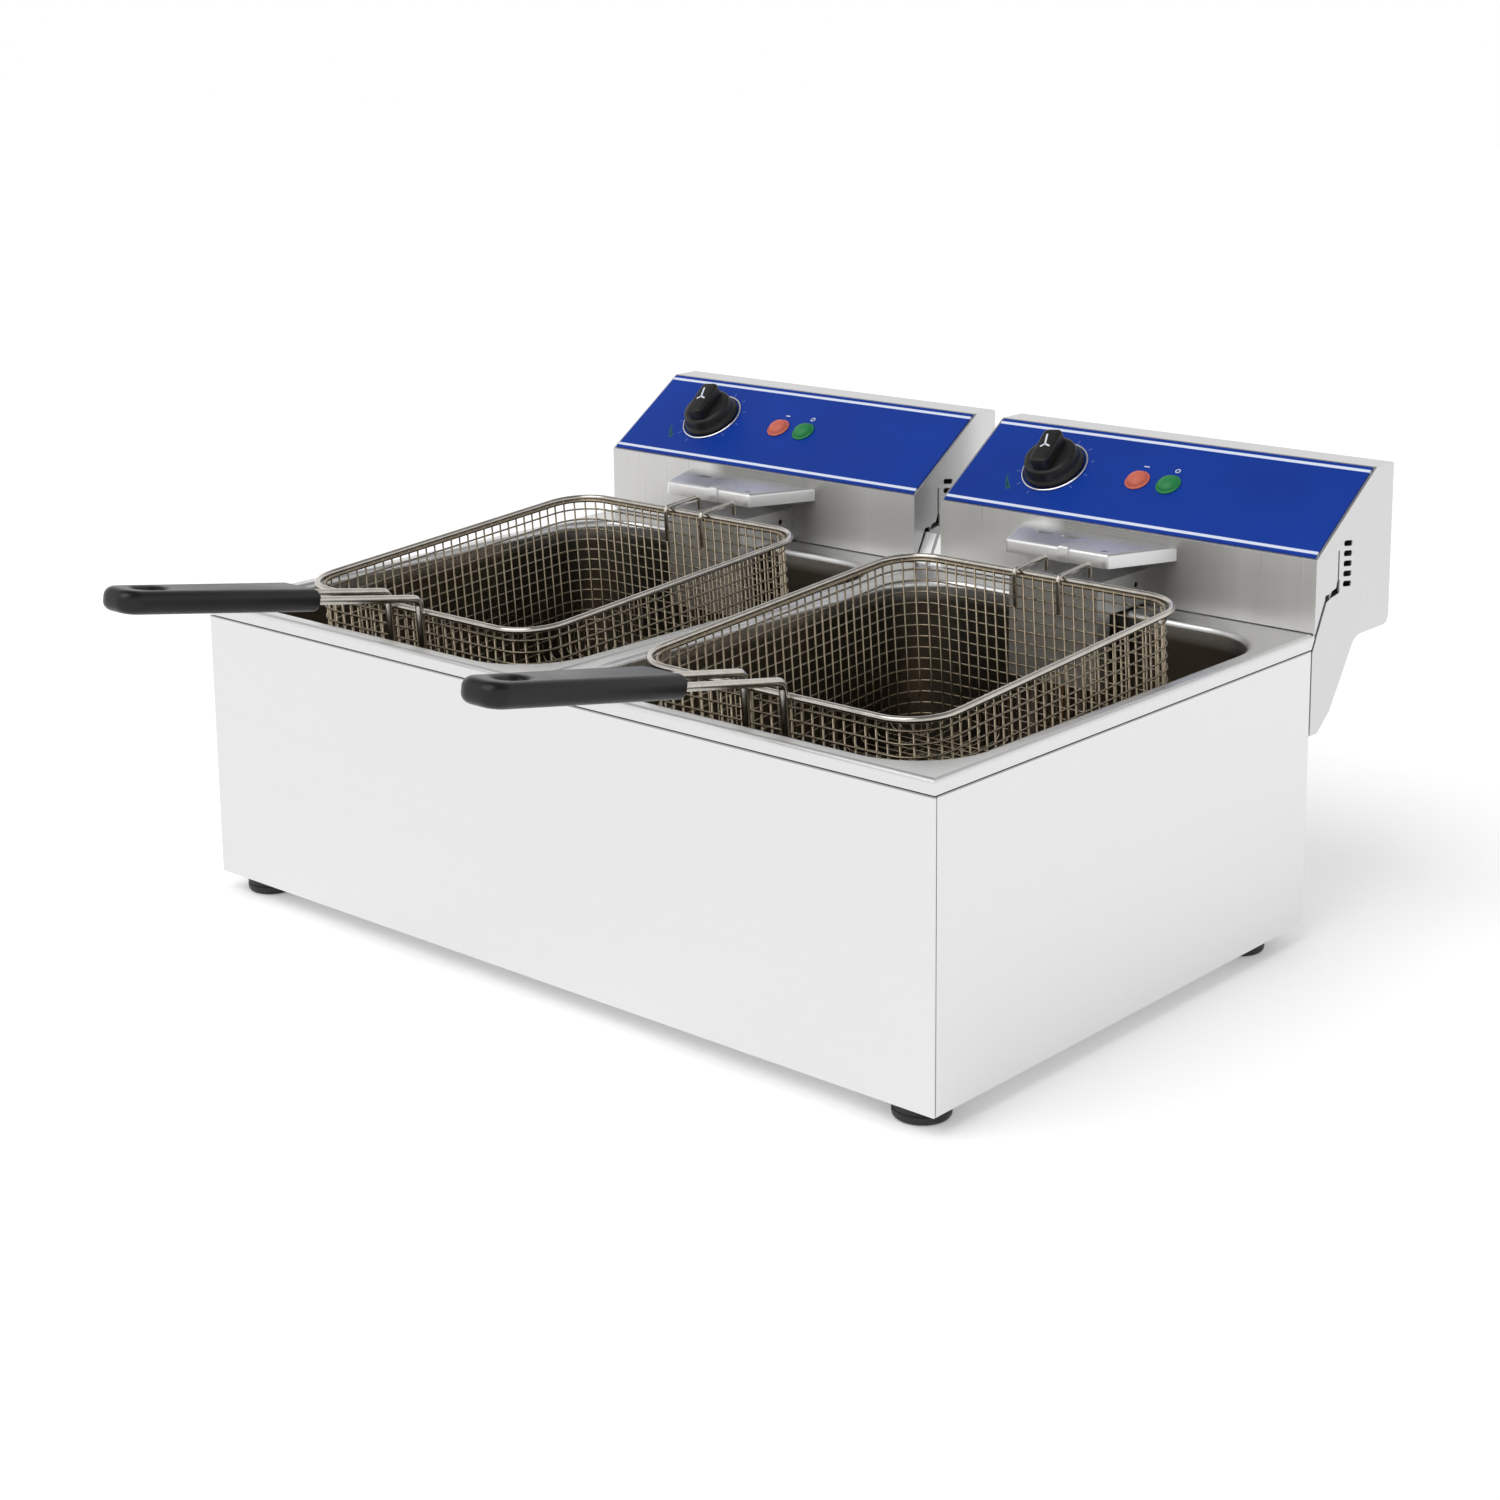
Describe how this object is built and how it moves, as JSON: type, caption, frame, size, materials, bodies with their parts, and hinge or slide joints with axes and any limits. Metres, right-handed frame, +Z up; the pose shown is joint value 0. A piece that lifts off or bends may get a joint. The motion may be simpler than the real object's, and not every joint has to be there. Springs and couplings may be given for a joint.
{
  "type": "countertop electric deep fryer",
  "caption": "Countertop electric deep fryer with two wells, each with a lift-off control head, heater and wire basket.",
  "frame": {"origin": "middle of the whole appliance's outline on the surface it stands on, handles included", "axes": "+Z up, +X to the right seen from the front, +Y from the front to the back"},
  "size_m": [0.58, 0.65, 0.2856],
  "materials": {
    "body_steel": "brushed stainless steel sheet, grain along the long side",
    "well_steel": "satin stainless steel, pressed",
    "head_steel": "brushed stainless steel sheet",
    "inner_steel": "mill-finish steel sheet",
    "bracket_steel": "bright stainless steel sheet",
    "fascia_blue": "satin printed blue film on steel",
    "knob_plastic": "black moulded plastic",
    "knob_ring_chrome": "bright plated ring",
    "lamp_red": "translucent red lens",
    "lamp_green": "translucent green lens",
    "foot_rubber": "black rubber",
    "screw_steel": "zinc-plated steel",
    "basket_wire": "nickel-plated steel wire",
    "grip_plastic": "satin black heat-proof plastic",
    "heater_steel": "heat-tinted stainless tube",
    "copper": "copper bulb and capillary",
    "ceramic": "glazed ceramic",
    "thermostat_body": "phenolic moulding",
    "switch_plastic": "black moulded plastic",
    "button_red": "red moulded plastic"
  },
  "bodies": {
    "body": {"base_pan": "inner_steel", "front_panel": "body_steel", "left_side_panel": "body_steel", "right_side_panel": "body_steel", "rear_panel": "body_steel", "centre_rail": "inner_steel", "feet": "foot_rubber", "foot_screws": "screw_steel"},
    "left_well_unit": {"left_well": "well_steel"},
    "left_head": {"left_head_case": "head_steel", "left_head_back": "inner_steel", "left_head_tray": "inner_steel", "left_fascia": "fascia_blue", "left_knob_ring": "knob_ring_chrome", "left_red_lamp": "lamp_red", "left_green_lamp": "lamp_green", "left_thermostat": "thermostat_body", "left_sensors": "copper", "left_hanger_shelf": "bracket_steel", "left_element_cover": "bracket_steel", "left_heating_element": "heater_steel", "left_limiter": "ceramic", "left_terminal_block": "ceramic", "left_contactor": "switch_plastic", "left_microswitch": "switch_plastic", "left_cable_gland": "switch_plastic", "left_back_screws": "screw_steel"},
    "left_dial": {"left_knob": "knob_plastic", "left_spindle": "screw_steel"},
    "left_reset": {"left_reset_button": "button_red"},
    "left_basket": {"left_basket_frame": "basket_wire", "left_basket_mesh": "basket_wire", "left_basket_grip": "grip_plastic"},
    "right_well_unit": {"right_well": "well_steel"},
    "right_head": {"right_head_case": "head_steel", "right_head_back": "inner_steel", "right_head_tray": "inner_steel", "right_fascia": "fascia_blue", "right_knob_ring": "knob_ring_chrome", "right_red_lamp": "lamp_red", "right_green_lamp": "lamp_green", "right_thermostat": "thermostat_body", "right_sensors": "copper", "right_hanger_shelf": "bracket_steel", "right_element_cover": "bracket_steel", "right_heating_element": "heater_steel", "right_limiter": "ceramic", "right_terminal_block": "ceramic", "right_contactor": "switch_plastic", "right_microswitch": "switch_plastic", "right_cable_gland": "switch_plastic", "right_back_screws": "screw_steel"},
    "right_dial": {"right_knob": "knob_plastic", "right_spindle": "screw_steel"},
    "right_reset": {"right_reset_button": "button_red"},
    "right_basket": {"right_basket_frame": "basket_wire", "right_basket_mesh": "basket_wire", "right_basket_grip": "grip_plastic"}
  },
  "joints": [
    {"name": "left_well_lift", "type": "slide", "parent": "body", "child": "left_well_unit", "axis": [0, 0, 1], "range_m": [0, 0.17]},
    {"name": "left_head_unhook", "type": "slide", "parent": "left_well_unit", "child": "left_head", "axis": [0, 0.4772, 0.8788], "range_m": [0, 0.035]},
    {"name": "left_dial_turn", "type": "hinge", "parent": "left_head", "child": "left_dial", "pos_m": [-0.224, 0.25115, 0.26005], "axis": [0, -0.5592, 0.829], "range_deg": [-290, 0]},
    {"name": "left_reset_press", "type": "slide", "parent": "left_head", "child": "left_reset", "axis": [0, -1, 0], "range_m": [0, 0.002], "stiffness_N_per_m": 800, "springref_m": -0.0005},
    {"name": "left_basket_lift", "type": "slide", "parent": "left_head", "child": "left_basket", "axis": [0, 0, 1], "range_m": [0, 0.16]},
    {"name": "right_well_lift", "type": "slide", "parent": "body", "child": "right_well_unit", "axis": [0, 0, 1], "range_m": [0, 0.17]},
    {"name": "right_head_unhook", "type": "slide", "parent": "right_well_unit", "child": "right_head", "axis": [0, 0.4772, 0.8788], "range_m": [0, 0.035]},
    {"name": "right_dial_turn", "type": "hinge", "parent": "right_head", "child": "right_dial", "pos_m": [0.077, 0.25115, 0.26005], "axis": [0, -0.5592, 0.829], "range_deg": [-290, 0]},
    {"name": "right_reset_press", "type": "slide", "parent": "right_head", "child": "right_reset", "axis": [0, -1, 0], "range_m": [0, 0.002], "stiffness_N_per_m": 800, "springref_m": -0.0005},
    {"name": "right_basket_lift", "type": "slide", "parent": "right_head", "child": "right_basket", "axis": [0, 0, 1], "range_m": [0, 0.16]}
  ]
}
